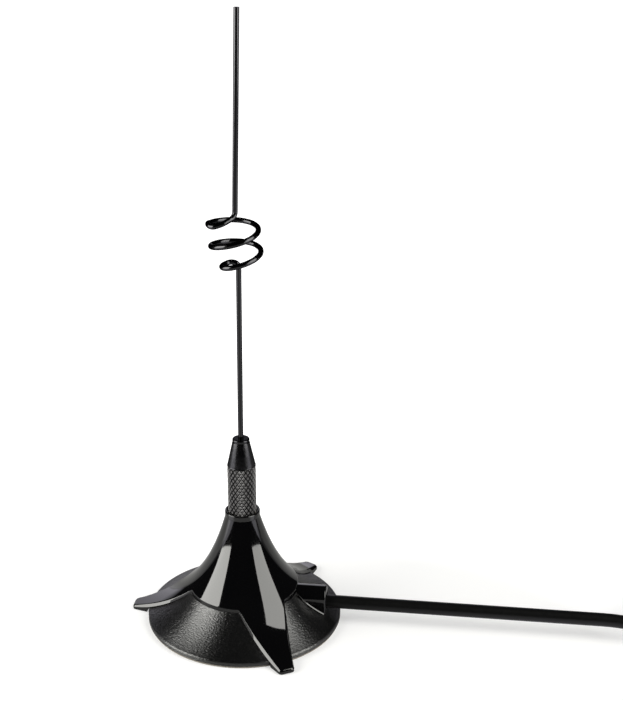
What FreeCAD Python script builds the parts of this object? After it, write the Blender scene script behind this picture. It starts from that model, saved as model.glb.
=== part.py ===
import FreeCAD
import Part
import math
import os

from FreeCAD import Vector

# Magnetic mount whip antenna with its coaxial cable, in millimetres.
# The origin is on the whip's axis, on the surface that the base stands on. +Z is up,
# and +X points along the cable where it leaves the hood of the cover.

os.makedirs("parts", exist_ok=True)

X_AXIS = Vector(1, 0, 0)
Z_AXIS = Vector(0, 0, 1)
ORIGIN = Vector(0, 0, 0)
FULL_TURN = 360.0

# How the shapes are worked out: the largest arc that a run leaves room for, as a share of the
# run, the points along a curve that is set off from another, the halvings of a search, and how
# close an edge lies to a place to count as being there
ARC_SHARE = 0.45
OFFSET_STEPS = 6
HALVINGS = 60
NEAR = 0.01

# Base pad and skirt
rim_radius = 36.0
pad_thickness = 0.8
pad_inset = 0.3
skirt_rim_height = 1.0
skirt_rim_round = 0.8
skirt_wall = 1.8
skirt_flange_width = 2.6
skirt_foot_width = 3.2
skirt_top_slope = 50.0
skirt_top_handle_length = 5.2
skirt_rim_slope = 19.0
skirt_rim_handle_length = 6.0
skirt_ledge = 0.2
skirt_lip_inset = 0.9

# Cover: a trumpet that runs out into three fins, and a hood over the cable
neck_radius = 6.05
neck_lip_radius = 6.2
neck_lip_height = 1.9
neck_lip_round = 0.4
neck_height = 44.4
cover_edge_radius = 20.2
cover_edge_height = 0.97
cover_wall = 1.9
cover_seat_gap = 0.25
flare_top_slope = 74.2
flare_top_handle_length = 15.28
flare_toe_slope = 10.6
flare_toe_handle_length = 25.73
fin_count = 3
fin_overhang = 6.8
fin_root_half_width = 8.4
fin_tip_half_width = 2.7
fin_toe_height = 1.74
fin_toe_clearance = 0.3
fin_toe_round = 0.9
cover_edge_round = 0.4
hood_half_width = 4.5
hood_rise = 1.2
hood_reach = 31.0
hood_edge_round = 0.5
web_thickness = 7.5

# Screw columns inside the cover
column_radius = 2.8
column_circle = 14.0
screw_radius = 1.2
screw_pilot_gap = 0.03
screw_grip = 9.0
screw_head_radius = 2.4
screw_head_height = 1.1
screw_head_gap = 0.1

# Magnet and its steel cup
cup_inset = 13.0
cup_wall = 1.5
cup_plate = 1.6
magnet_side_gap = 1.0
magnet_bore = 7.0
magnet_thickness = 4.0

# Stud that carries the whip
stud_radius = 2.5
stud_gap = 0.05
stud_flange_radius = 4.9
stud_flange_height = 1.7
stud_reach = 12.8
stud_tail = 0.9
stud_chamfer = 0.6
washer_radius = 4.6
washer_thickness = 0.8
tag_thickness = 0.5
tag_radius = 4.2
tag_tail_width = 3.0
tag_tail_drop = 7.5
nut_sides = 6
nut_flats = 8.0
nut_height = 3.2
nut_tail_gap = 1.0

# Ferrule of the whip
ferrule_sink = 1.2
ferrule_grip_radius = 5.2
ferrule_foot_radius = 4.7
ferrule_foot_height = 0.6
ferrule_recess_gap = 0.35
ferrule_grip_height = 19.4
ferrule_shoulder = 0.3
ferrule_shoulder_step = 0.1
ferrule_nose_radius = 3.1
ferrule_groove_depth = 0.25
ferrule_groove_width = 0.3
ferrule_lip_height = 0.9
ferrule_lip_round = 0.5
ferrule_height = 29.9
ferrule_thread_depth = 13.6

# Whip: a lower rod, a coil that leans, and an upper rod, bent from one wire
whip_wire = 1.9
whip_gap = 0.03
whip_socket = 14.6
whip_turn = 8.35
whip_bend_rise = 8.0
whip_coil_foot = 136.4
whip_coil_foot_side = 0.5
coil_radius = 8.3
coil_pitch = 7.6
coil_lean = 5.7
coil_middle = 149.7
coil_side = -0.85
coil_first_angle = -450
coil_last_angle = 180
coil_step_angle = 30
whip_coil_head = 157.3
whip_coil_head_side = -0.3
whip_length_above_coil = 66.6
whip_upper_lean = 1.6
CURL_IN = [
    (-0.4, 0.1, 2.0),
    (-2.1, 0.3, 2.7),
    (-4.5, -1.0, 2.5),
    (-5.5, -4.2, 2.5),
    (-3.7, -7.2, 3.0),
]
CURL_OUT = [
    (-7.6, -2.7, -4.8),
    (-5.0, -3.0, -4.1),
    (-1.2, -0.9, -2.4),
]

# Cable and its end inside the base
cable_diameter = 4.95
cable_height = 7.75
cable_gap = 0.15
cable_slot_gap = 0.5
jacket_end = 12.4
braid_thickness = 0.4
braid_length = 4.6
braid_gap = 0.03
core_diameter = 2.95
core_bend = 5.5
core_gap = 1.2
conductor_diameter = 0.9
conductor_reach = 4.5
solder_gap = 0.03
saddle_width = 4.0
saddle_inset = 0.3
saddle_strap = 0.8
saddle_foot = 5.0
saddle_screw_radius = 1.25
saddle_head_radius = 2.1
saddle_head_height = 1.5
saddle_head_round = 0.7
saddle_screw_bite = 1.5
cup_notch_gap = 0.3

# Route of the cable from its jacket end to the coil, chosen by hand
CABLE_ROUTE = [
    (jacket_end, 0.0, cable_height),
    (141.0, 0.0, cable_height),
    (159.0, -6.0, 6.4),
    (180.9, -14.4, 3.5),
]

# Wound-up length of the cable
coil_center_x = 190.0
coil_center_y = 22.0
coil_inner_radius = 20.2
coil_outer_radius = 40.0
coil_bundle_height = 19.8
coil_corner_round = 2.4
tie_thickness = 1.0
tie_width = 10.0
tie_gap = 0.05
tie_angles = (20.0, 200.0)

# Route from the coil to the plug, chosen by hand
TAIL_ROUTE = [
    (193.0, -10.4, 18.3),
    (210.0, -8.9, 18.2),
    (227.0, -3.8, 15.6),
    (239.3, 7.6, 12.0),
    (245.0, 23.4, 9.3),
    (245.0, 34.4, 9.3),
]

# Plug, set out along its axis from the rear end of its sleeve
cable_in_plug = 5.0
sleeve_head_radius = 5.0
sleeve_head_length = 6.0
sleeve_spigot_radius = 4.2
sleeve_spigot_length = 8.0
sleeve_bore_gap = 0.03
sleeve_chamfer = 0.6
body_barrel_radius = 6.2
body_barrel_length = 13.0
body_flange_radius = 7.6
body_flange_length = 2.0
body_nose_radius = 6.0
body_nose_length = 11.0
body_bore_radius = 5.2
body_core_radius = 3.0
body_slot_width = 2.0
body_slot_depth = 1.2
plug_insulator_length = 4.0
plug_insulator_setback = 2.0
pin_radius = 2.0
pin_reach = 13.0
pin_tail_radius = 1.4
pin_tail_length = 6.0
pin_tip_round = 1.0
ring_radius = 9.0
ring_length = 19.0
ring_lip_length = 3.0
ring_lip_gap = 0.07
ring_thread_radius = 7.95
ring_end_gap = 0.3
ring_chamfer = 0.6
ring_mouth_chamfer = 0.3

# Sizes worked out from the ones above
pad_top = pad_thickness
cable_radius = cable_diameter / 2
fin_tip_radius = rim_radius + fin_overhang
skirt_edge_radius = cover_edge_radius + skirt_ledge
skirt_flange_radius = skirt_edge_radius - skirt_flange_width
cup_radius = rim_radius - cup_inset
magnet_radius = cup_radius - cup_wall - magnet_side_gap
magnet_top = pad_top + magnet_thickness
cup_top = magnet_top + cup_plate
flare_top_height = neck_height - neck_lip_height - (neck_lip_radius - neck_radius)
ferrule_foot = neck_height - ferrule_sink
stud_seat = ferrule_foot - stud_flange_height
web_bottom = stud_seat - web_thickness
washer_bottom = web_bottom - washer_thickness
tag_bottom = washer_bottom - tag_thickness
nut_bottom = tag_bottom - nut_height
stud_bottom = nut_bottom - stud_tail
ferrule_top = ferrule_foot + ferrule_height
whip_foot = ferrule_top - whip_socket
tag_tail_x = nut_flats / 2 + nut_tail_gap
braid_radius = cable_radius + braid_gap + braid_thickness
core_top = washer_bottom - tag_tail_drop - core_gap
conductor_x = tag_tail_x + tag_thickness + conductor_diameter / 2 + solder_gap
flange_start = sleeve_head_length + body_barrel_length
nose_end = flange_start + body_flange_length + body_nose_length
fin_angles = [180.0 + FULL_TURN / fin_count * i for i in range(fin_count)]


# Drawing helpers


def polar(length, degrees):
    """Radius and height of a step of that length, at that angle below the horizontal."""
    turn = math.radians(degrees)
    return Vector(length * math.cos(turn), 0, -length * math.sin(turn))


def at(radius, height):
    return Vector(radius, 0, height)


def line(start, end):
    return Part.LineSegment(start, end).toShape()


def arc(start, middle, end):
    return Part.Arc(start, middle, end).toShape()


def quarter(start, end, center):
    """Quarter circle between two points about a centre."""
    middle = (start + end) * 0.5 - center
    radius = start.distanceToPoint(center)
    return arc(start, center + middle.normalize() * radius, end)


def turned(edges):
    """Solid of revolution about the Z axis from a closed section of edges."""
    wire = Part.Wire(Part.__sortEdges__(edges))
    return Part.Face(wire).revolve(ORIGIN, Z_AXIS, FULL_TURN)


def turned_outline(points):
    """Solid of revolution from a closed outline of straight lines, given as radius and height."""
    corners = [at(radius, height) for radius, height in points]
    return Part.Face(Part.makePolygon(corners + corners[:1])).revolve(ORIGIN, Z_AXIS, FULL_TURN)


def cylinder(radius, bottom, top, x=0.0, y=0.0):
    return Part.makeCylinder(radius, top - bottom, Vector(x, y, bottom))


def box(low, high):
    size = high - low
    return Part.makeBox(size.x, size.y, size.z, low)


def rounded_path(points):
    """Straight runs joined by tangent arcs, each as large as its two runs allow."""
    corners = [Vector(*point) for point in points]
    edges = []
    radii = []
    start = corners[0]
    for before, corner, after in zip(corners, corners[1:], corners[2:]):
        back = (before - corner).normalize()
        ahead = (after - corner).normalize()
        half_turn = (math.pi - back.getAngle(ahead)) / 2
        setback = ARC_SHARE * min(before.distanceToPoint(corner), after.distanceToPoint(corner))
        radius = setback / math.tan(half_turn)
        inward = (back + ahead).normalize()
        apex = corner + inward * (radius / math.cos(half_turn) - radius)
        first = corner + back * setback
        last = corner + ahead * setback
        edges.append(line(start, first))
        edges.append(arc(first, apex, last))
        radii.append(radius)
        start = last
    edges.append(line(start, corners[-1]))
    return Part.Wire(edges), radii


def tube(path, radius):
    """Round solid along a path."""
    edge = path.Edges[0]
    begin = edge.valueAt(edge.FirstParameter)
    heading = edge.tangentAt(edge.FirstParameter)
    section = Part.Wire(Part.makeCircle(radius, begin, heading))
    return path.makePipeShell([section], True, True)


def spun_copies(shape, angles):
    copies = []
    for angle in angles:
        copy = shape.copy()
        copy.rotate(ORIGIN, Z_AXIS, angle)
        copies.append(copy)
    return copies


# Curves that the cover and the skirt share


def flare_curve():
    """The trumpet line of the cover, from its neck to the toe of a fin."""
    top = at(neck_radius, flare_top_height)
    toe = at(fin_tip_radius, fin_toe_height)
    curve = Part.BezierCurve()
    curve.setPoles([
        top,
        top + polar(flare_top_handle_length, flare_top_slope),
        toe - polar(flare_toe_handle_length, flare_toe_slope),
        toe,
    ])
    return curve


def last_place(curve, holds):
    """How far along a curve a condition on its points holds, as the curve's parameter."""
    low = curve.FirstParameter
    high = curve.LastParameter
    for _ in range(HALVINGS):
        middle = (low + high) / 2
        if holds(curve.value(middle)):
            low = middle
        else:
            high = middle
    return low


def flare_height(radius):
    curve = flare_curve()
    return curve.value(last_place(curve, lambda point: point.x < radius)).z


def inner_flare(curve, top_height, bottom_height, wall):
    """The line that runs a wall's thickness inside the flare, between two heights of the flare."""
    first = last_place(curve, lambda point: point.z > top_height)
    last = last_place(curve, lambda point: point.z > bottom_height)
    points = []
    for i in range(OFFSET_STEPS + 1):
        parameter = first + (last - first) * i / OFFSET_STEPS
        along = curve.tangent(parameter)[0].normalize()
        points.append(curve.value(parameter) + Vector(along.z, 0, -along.x) * wall)
    inside = Part.BSplineCurve()
    inside.interpolate(points)
    return inside


# The skirt meets the cover's lower edge, and the hood stands above it, wherever the flare puts them
skirt_top_height = flare_height(cover_edge_radius) - cover_edge_height
hood_height = skirt_top_height + hood_rise


def skirt_line(gap):
    """Edges of the skirt's outside, from its top edge to its foot, moved out by a gap."""
    shift = Vector(gap, 0, 0)
    top = at(skirt_edge_radius, skirt_top_height) + shift
    shoulder_height = pad_top + skirt_rim_height + skirt_rim_round
    shoulder = at(rim_radius - skirt_rim_round, shoulder_height) + shift
    side = at(rim_radius, shoulder_height - skirt_rim_round) + shift
    center = at(shoulder.x, side.z)
    curve = Part.BezierCurve()
    curve.setPoles([
        top,
        top + polar(skirt_top_handle_length, skirt_top_slope),
        shoulder - polar(skirt_rim_handle_length, skirt_rim_slope),
        shoulder,
    ])
    foot = at(side.x, pad_top)
    return [curve.toShape(), quarter(shoulder, side, center), line(side, foot)]


# Base


def make_base_pad():
    return cylinder(rim_radius - pad_inset, 0, pad_thickness)


def make_skirt():
    outside = skirt_line(0)
    top = at(skirt_edge_radius, skirt_top_height)
    foot = at(rim_radius, pad_top)
    inner_foot = at(rim_radius - skirt_foot_width, pad_top)
    inner_top = at(skirt_edge_radius - skirt_lip_inset, skirt_top_height - skirt_wall)
    inside = Part.BezierCurve()
    inside.setPoles([
        inner_foot,
        inner_foot - polar(skirt_rim_handle_length, skirt_rim_slope),
        inner_top + polar(skirt_top_handle_length, skirt_top_slope),
        inner_top,
    ])
    flange_low = at(skirt_flange_radius, inner_top.z)
    flange_high = at(skirt_flange_radius, skirt_top_height)
    skirt = turned(outside + [
        line(foot, inner_foot),
        inside.toShape(),
        line(inner_top, flange_low),
        line(flange_low, flange_high),
        line(flange_high, top),
    ])
    half = cable_radius + cable_slot_gap
    slot = box(
        Vector(skirt_flange_radius - skirt_wall, -half, cable_height - half),
        Vector(hood_reach, half, cable_height + half),
    )
    return skirt.cut(slot)


def make_magnet():
    ring = cylinder(magnet_radius, pad_top, magnet_top)
    return ring.cut(cylinder(magnet_bore, pad_top, magnet_top))


def make_magnet_cup():
    cup = cylinder(cup_radius, pad_top, cup_top)
    cup = cup.cut(cylinder(cup_radius - cup_wall, pad_top, magnet_top))
    half = braid_radius + cup_notch_gap
    notch = box(
        Vector(conductor_x, -half, magnet_top),
        Vector(cup_radius + cup_wall, half, cup_top),
    )
    hole = cylinder(screw_radius + screw_head_gap, magnet_top, cup_top, column_circle)
    sink = Part.makeCone(
        screw_head_radius + screw_head_gap,
        screw_radius + screw_head_gap,
        screw_head_height + screw_head_gap,
        Vector(column_circle, 0, magnet_top),
    )
    cup = cup.cut(notch)
    for cutter in spun_copies(hole.fuse(sink), fin_angles):
        cup = cup.cut(cutter)
    for side in (1, -1):
        cup = cup.cut(cylinder(
            saddle_screw_radius, magnet_top, cup_top, saddle_middle_x(), side * saddle_screw_y()
        ))
    return cup


def make_cover_screws():
    shank_bottom = magnet_top + screw_head_gap + screw_head_height
    shank = cylinder(screw_radius, shank_bottom, cup_top + screw_grip, column_circle)
    head = Part.makeCone(
        screw_head_radius,
        screw_radius,
        screw_head_height,
        Vector(column_circle, 0, magnet_top + screw_head_gap),
    )
    return Part.makeCompound(spun_copies(shank.fuse(head), fin_angles))


# Cover


def trumpet_solid():
    """The flare turned all round and filled, from the neck to the reach of the fins."""
    lip_low = neck_height - neck_lip_height
    toe_low = at(fin_tip_radius, fin_toe_clearance)
    round_start = at(neck_lip_radius - neck_lip_round, neck_height)
    round_end = at(neck_lip_radius, neck_height - neck_lip_round)
    round_center = at(round_start.x, round_end.z)
    return turned([
        line(at(0, neck_height), round_start),
        quarter(round_start, round_end, round_center),
        line(round_end, at(neck_lip_radius, lip_low)),
        line(at(neck_lip_radius, lip_low), at(neck_radius, flare_top_height)),
        flare_curve().toShape(),
        line(at(fin_tip_radius, fin_toe_height), toe_low),
        line(toe_low, at(0, fin_toe_clearance)),
        line(at(0, fin_toe_clearance), at(0, neck_height)),
    ])


def make_fin(trumpet):
    """One tongue fin along +X: the flare cut to a tapering outline, its upper edges rounded."""
    root = cover_edge_radius - cover_wall
    taper = (fin_root_half_width - fin_tip_half_width) / (fin_tip_radius - cover_edge_radius)
    root_half_width = fin_root_half_width + taper * cover_wall
    reach = fin_tip_radius - fin_toe_clearance
    corners = [
        Vector(root, -root_half_width, 0),
        Vector(reach, -fin_tip_half_width, 0),
        Vector(reach, fin_tip_half_width, 0),
        Vector(root, root_half_width, 0),
    ]
    outline = Part.Face(Part.makePolygon(corners + corners[:1]))
    fin = trumpet.common(outline.extrude(Vector(0, 0, neck_height)))
    toes = [edge for edge in fin.Edges if is_upright(edge) and edge.CenterOfMass.x > rim_radius]
    fin = fin.makeFillet(fin_toe_round, toes)
    upper = [edge for edge in fin.Edges if is_upper(edge) and edge.BoundBox.XMax > root + NEAR]
    fin = fin.makeFillet(cover_edge_round, upper)
    return fin.cut(cylinder(cover_edge_radius, 0, neck_height))


def is_upright(edge):
    return edge.BoundBox.ZLength > edge.Length - NEAR


def is_upper(edge):
    return edge.BoundBox.ZMin > fin_toe_clearance + NEAR and not is_upright(edge)


def make_hood():
    """Arched hood over the cable, along +X, with its outer end rounded off."""
    spring = hood_height - hood_half_width
    root = cover_edge_radius - cover_wall
    low_left = Vector(root, -hood_half_width, fin_toe_clearance)
    low_right = Vector(root, hood_half_width, fin_toe_clearance)
    high_left = Vector(root, -hood_half_width, spring)
    high_right = Vector(root, hood_half_width, spring)
    crown = Vector(root, 0, hood_height)
    arch = Part.Wire([
        line(low_left, high_left),
        arc(high_left, crown, high_right),
        line(high_right, low_right),
        line(low_right, low_left),
    ])
    hood = Part.Face(arch).extrude(X_AXIS * (hood_reach - root))
    outer = [
        edge
        for edge in hood.Edges
        if edge.BoundBox.XMin > hood_reach - NEAR and edge.BoundBox.ZMax > fin_toe_clearance + NEAR
    ]
    return hood.makeFillet(hood_edge_round, outer)


def skirt_envelope():
    """All that lies under the skirt's outside, with the gap that the cover keeps to it."""
    outside = skirt_line(cover_seat_gap)
    top = at(skirt_edge_radius + cover_seat_gap, skirt_top_height)
    foot = at(rim_radius + cover_seat_gap, pad_top)
    below = at(foot.x, -pad_thickness)
    return turned(outside + [
        line(foot, below),
        line(below, at(0, below.z)),
        line(at(0, below.z), at(0, skirt_top_height)),
        line(at(0, skirt_top_height), top),
    ])


def inside_of_cover(wall):
    """The room inside the trumpet, a wall's thickness away from its outside."""
    curve = inner_flare(flare_curve(), web_bottom, skirt_top_height, wall)
    start = curve.value(curve.FirstParameter)
    end = curve.value(curve.LastParameter)
    return turned([
        line(at(0, web_bottom), at(start.x, web_bottom)),
        line(at(start.x, web_bottom), start),
        curve.toShape(),
        line(end, at(end.x, pad_top)),
        line(at(end.x, pad_top), at(0, pad_top)),
        line(at(0, pad_top), at(0, web_bottom)),
    ])


def make_cover():
    trumpet = trumpet_solid()
    bell = trumpet.common(cylinder(cover_edge_radius, 0, neck_height))
    cover = bell.fuse(spun_copies(make_fin(trumpet), fin_angles)).removeSplitter()
    cover = cover.fuse(make_hood())
    cover = cover.cut(skirt_envelope()).cut(inside_of_cover(cover_wall))
    column = cylinder(column_radius, cup_top, web_bottom, column_circle)
    column = column.common(inside_of_cover(cover_wall / 2))
    cover = cover.fuse(spun_copies(column, fin_angles))
    pilot_top = cup_top + screw_grip + screw_head_gap
    pilot = cylinder(screw_radius + screw_pilot_gap, cup_top, pilot_top, column_circle)
    for cutter in spun_copies(pilot, fin_angles):
        cover = cover.cut(cutter)
    cover = cover.cut(cylinder(ferrule_grip_radius + ferrule_recess_gap, stud_seat, neck_height))
    cover = cover.cut(cylinder(stud_radius + stud_gap, web_bottom, stud_seat))
    passage_radius = cable_radius + cable_gap
    passage_start = Vector(skirt_flange_radius, 0, cable_height)
    passage = Part.makeCylinder(passage_radius, hood_reach, passage_start, X_AXIS)
    channel = box(
        Vector(skirt_flange_radius, -passage_radius, 0),
        Vector(hood_reach - cover_wall, passage_radius, cable_height),
    )
    return cover.cut(passage).cut(channel)


# Stud and its fittings in the neck


def make_contact_stud():
    top = ferrule_foot + stud_reach
    return turned_outline([
        (0, stud_bottom),
        (stud_radius - stud_chamfer, stud_bottom),
        (stud_radius, stud_bottom + stud_chamfer),
        (stud_radius, stud_seat),
        (stud_flange_radius, stud_seat),
        (stud_flange_radius, ferrule_foot),
        (stud_radius, ferrule_foot),
        (stud_radius, top - stud_chamfer),
        (stud_radius - stud_chamfer, top),
        (0, top),
    ])


def make_stud_washer():
    washer = cylinder(washer_radius, washer_bottom, web_bottom)
    return washer.cut(cylinder(stud_radius + stud_gap, washer_bottom, web_bottom))


def make_solder_tag():
    """Ring under the washer, with a tail that is bent down beside the nut."""
    half = tag_tail_width / 2
    outer_x = tag_tail_x + tag_thickness
    ring = cylinder(tag_radius, tag_bottom, washer_bottom)
    arm = box(Vector(0, -half, tag_bottom), Vector(outer_x, half, washer_bottom))
    tail = box(
        Vector(tag_tail_x, -half, washer_bottom - tag_tail_drop),
        Vector(outer_x, half, washer_bottom),
    )
    tag = ring.fuse([arm, tail]).removeSplitter()
    return tag.cut(cylinder(stud_radius + stud_gap, tag_bottom, washer_bottom))


def make_stud_nut():
    corner = nut_flats / 2 / math.cos(math.pi / nut_sides)
    corners = []
    for i in range(nut_sides):
        angle = math.radians(FULL_TURN / nut_sides * (i + 0.5))
        corners.append(Vector(corner * math.cos(angle), corner * math.sin(angle), nut_bottom))
    prism = Part.Face(Part.makePolygon(corners + corners[:1])).extrude(Z_AXIS * nut_height)
    return prism.cut(cylinder(stud_radius + stud_gap, nut_bottom, tag_bottom))


# Ferrule and whip


def make_whip_ferrule():
    grip_top = ferrule_foot + ferrule_grip_height
    lip_low = ferrule_top - ferrule_lip_height
    groove_low = lip_low - ferrule_groove_width
    groove_radius = ferrule_nose_radius - ferrule_groove_depth
    thread = stud_radius + stud_gap
    thread_top = ferrule_foot + ferrule_thread_depth
    socket = whip_wire / 2 + whip_gap
    round_start = at(ferrule_nose_radius, ferrule_top - ferrule_lip_round)
    round_end = at(ferrule_nose_radius - ferrule_lip_round, ferrule_top)
    round_center = at(round_end.x, round_start.z)
    outline = [
        round_end,
        at(socket, ferrule_top),
        at(socket, whip_foot),
        at(0, whip_foot),
        at(0, thread_top),
        at(thread, thread_top),
        at(thread, ferrule_foot),
        at(ferrule_foot_radius, ferrule_foot),
        at(ferrule_grip_radius, ferrule_foot + ferrule_foot_height),
        at(ferrule_grip_radius, grip_top),
        at(ferrule_grip_radius - ferrule_shoulder_step, grip_top + ferrule_shoulder),
        at(ferrule_nose_radius, groove_low),
        at(groove_radius, groove_low),
        at(groove_radius, lip_low),
        at(ferrule_nose_radius, lip_low),
        round_start,
    ]
    edges = [line(start, end) for start, end in zip(outline, outline[1:])]
    return turned(edges + [quarter(round_start, round_end, round_center)])


def coil_point(angle):
    """A place on the leaning coil. The angle counts upwards, from the side, towards the back."""
    lean = math.radians(coil_lean)
    turn = math.radians(angle)
    side = coil_radius * math.cos(turn)
    rise = coil_pitch * angle / FULL_TURN
    return Vector(
        coil_side + side * math.cos(lean) - rise * math.sin(lean),
        coil_radius * math.sin(turn),
        coil_middle + side * math.sin(lean) + rise * math.cos(lean),
    )


def make_whip():
    foot = Vector(0, 0, whip_foot)
    bend = Vector(0, 0, ferrule_top + whip_bend_rise)
    coil_foot = Vector(whip_coil_foot_side, 0, whip_coil_foot)
    coil_head = Vector(whip_coil_head_side, 0, whip_coil_head)
    upper = Vector(math.sin(math.radians(whip_upper_lean)), 0, math.cos(math.radians(whip_upper_lean)))
    lower_path = rounded_path([foot, bend, coil_foot])[0]
    angles = range(coil_first_angle, coil_last_angle + 1, coil_step_angle)
    curl_in = [coil_foot + Vector(*step) for step in CURL_IN]
    curl_out = [coil_head + Vector(*step) for step in CURL_OUT]
    points = [coil_foot] + curl_in + [coil_point(a) for a in angles] + curl_out + [coil_head]
    lengths = [0.0]
    for before, after in zip(points, points[1:]):
        lengths.append(lengths[-1] + before.distanceToPoint(after))
    coil = Part.BSplineCurve()
    coil.interpolate(
        Points=points,
        Parameters=lengths,
        InitialTangent=(coil_foot - bend).normalize(),
        FinalTangent=upper,
        Scale=False,
    )
    upper_path = line(coil_head, coil_head + upper * whip_length_above_coil)
    path = Part.Wire(lower_path.Edges + [coil.toShape(), upper_path])
    whip = tube(path, whip_wire / 2)
    whip.rotate(ORIGIN, Z_AXIS, whip_turn)
    return whip


# Cable end inside the base


def make_dielectric():
    start = Vector(jacket_end, 0, cable_height)
    bend_start = Vector(conductor_x + core_bend, 0, cable_height)
    bend_end = Vector(conductor_x, 0, cable_height + core_bend)
    bend_center = Vector(bend_start.x, 0, bend_end.z)
    path = Part.Wire([
        line(start, bend_start),
        quarter(bend_start, bend_end, bend_center),
        line(bend_end, Vector(conductor_x, 0, core_top)),
    ])
    return tube(path, core_diameter / 2)


def make_inner_conductor():
    return cylinder(conductor_diameter / 2, core_top, core_top + conductor_reach, conductor_x)


def make_folded_braid():
    start = Vector(jacket_end, 0, cable_height)
    sleeve = Part.makeCylinder(braid_radius, braid_length, start, X_AXIS)
    return sleeve.cut(Part.makeCylinder(cable_radius + braid_gap, braid_length, start, X_AXIS))


def saddle_radius():
    return braid_radius + braid_gap + saddle_strap


def saddle_middle_x():
    return jacket_end + saddle_inset + saddle_width / 2


def saddle_screw_y():
    return saddle_radius() + saddle_foot / 2


def make_cable_saddle():
    """Strap bent over the cable, with a foot on each side."""
    outer = saddle_radius()
    inner = outer - saddle_strap
    start = jacket_end + saddle_inset
    end = start + saddle_width
    axis = Vector(start, 0, cable_height)
    reach = outer + saddle_foot
    strap = Part.makeCylinder(outer, saddle_width, axis, X_AXIS)
    strap = strap.fuse([
        box(Vector(start, -outer, cup_top), Vector(end, outer, cable_height)),
        box(Vector(start, -reach, cup_top), Vector(end, reach, cup_top + saddle_strap)),
    ])
    strap = strap.cut(box(Vector(start, -outer, 0), Vector(end, outer, cup_top)))
    strap = strap.cut(Part.makeCylinder(inner, saddle_width, axis, X_AXIS))
    strap = strap.cut(box(Vector(start, -inner, 0), Vector(end, inner, cable_height)))
    for side in (1, -1):
        strap = strap.cut(cylinder(
            saddle_screw_radius + screw_pilot_gap,
            cup_top,
            cup_top + saddle_strap,
            saddle_middle_x(),
            side * saddle_screw_y(),
        ))
    return strap.removeSplitter()


def make_saddle_screws():
    screws = []
    for side in (1, -1):
        y = side * saddle_screw_y()
        seat = cup_top + saddle_strap
        head = cylinder(saddle_head_radius, seat, seat + saddle_head_height, saddle_middle_x(), y)
        rim = [edge for edge in head.Edges if edge.BoundBox.ZMin > seat + saddle_head_height - NEAR]
        head = head.makeFillet(saddle_head_round, rim)
        shank = cylinder(saddle_screw_radius, cup_top - saddle_screw_bite, seat, saddle_middle_x(), y)
        screws.append(head.fuse(shank).removeSplitter())
    return Part.makeCompound(screws)


# Cable outside the base


def band_ring(inner, outer, low, high, corner):
    """Flat ring with rounded edges."""
    ring = cylinder(outer, low, high).cut(cylinder(inner, low, high))
    circles = [edge for edge in ring.Edges if edge.BoundBox.ZLength < NEAR]
    return ring.makeFillet(corner, circles)


def make_cable_coil():
    """Outer shape of the wound-up length."""
    ring = band_ring(
        coil_inner_radius,
        coil_outer_radius,
        tie_thickness,
        tie_thickness + coil_bundle_height,
        coil_corner_round,
    )
    ring.translate(Vector(coil_center_x, coil_center_y, 0))
    return ring


def make_coil_ties():
    """Two straps wrapped round the bundle."""
    high = tie_thickness + coil_bundle_height
    skin = band_ring(
        coil_inner_radius - tie_thickness,
        coil_outer_radius + tie_thickness,
        0,
        high + tie_thickness,
        coil_corner_round + tie_thickness,
    )
    core = band_ring(
        coil_inner_radius - tie_gap,
        coil_outer_radius + tie_gap,
        tie_thickness - tie_gap,
        high + tie_gap,
        coil_corner_round + tie_gap,
    )
    half = tie_width / 2
    window = box(
        Vector(0, -half, 0),
        Vector(coil_outer_radius + tie_thickness, half, high + tie_thickness),
    )
    strap = skin.cut(core).common(window)
    ties = spun_copies(strap, tie_angles)
    for tie in ties:
        tie.translate(Vector(coil_center_x, coil_center_y, 0))
    return Part.makeCompound(ties)


def make_free_cable(route, coil):
    """Tube along a route, cut where it runs into the wound-up bundle."""
    path, radii = rounded_path(route)
    whole = tube(path, cable_radius)
    plain = math.pi * cable_radius ** 2 * path.Length
    print("cable run", round(path.Length, 1), "radii", [round(r, 1) for r in radii])
    print("cable volume", round(whole.Volume, 1), "section times length", round(plain, 1))
    return whole.cut(coil)


# Plug, built along +Z from the rear of its sleeve and then laid along +Y


def laid_down(shape):
    shape.rotate(ORIGIN, X_AXIS, -90)
    shape.translate(Vector(*TAIL_ROUTE[-1]) - Vector(0, cable_in_plug, 0))
    return shape


def make_plug_sleeve():
    length = sleeve_head_length + sleeve_spigot_length
    bore = cable_radius + sleeve_bore_gap
    return laid_down(turned_outline([
        (bore, 0),
        (sleeve_head_radius - sleeve_chamfer, 0),
        (sleeve_head_radius, sleeve_chamfer),
        (sleeve_head_radius, sleeve_head_length),
        (sleeve_spigot_radius, sleeve_head_length),
        (sleeve_spigot_radius, length),
        (bore, length),
    ]))


def make_plug_body():
    rear = sleeve_head_length
    spigot_end = rear + sleeve_spigot_length
    nose_bore = nose_end - plug_insulator_setback - plug_insulator_length
    body = turned_outline([
        (sleeve_spigot_radius + sleeve_bore_gap, rear),
        (body_barrel_radius, rear),
        (body_barrel_radius, flange_start),
        (body_flange_radius, flange_start),
        (body_flange_radius, flange_start + body_flange_length),
        (body_nose_radius, flange_start + body_flange_length),
        (body_nose_radius, nose_end),
        (body_bore_radius, nose_end),
        (body_bore_radius, nose_bore),
        (body_core_radius, nose_bore),
        (body_core_radius, spigot_end),
        (sleeve_spigot_radius + sleeve_bore_gap, spigot_end),
    ])
    half = body_slot_width / 2
    slot = box(
        Vector(-body_flange_radius, -half, nose_end - body_slot_depth),
        Vector(body_flange_radius, half, nose_end),
    )
    return laid_down(body.cut(slot))


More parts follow.
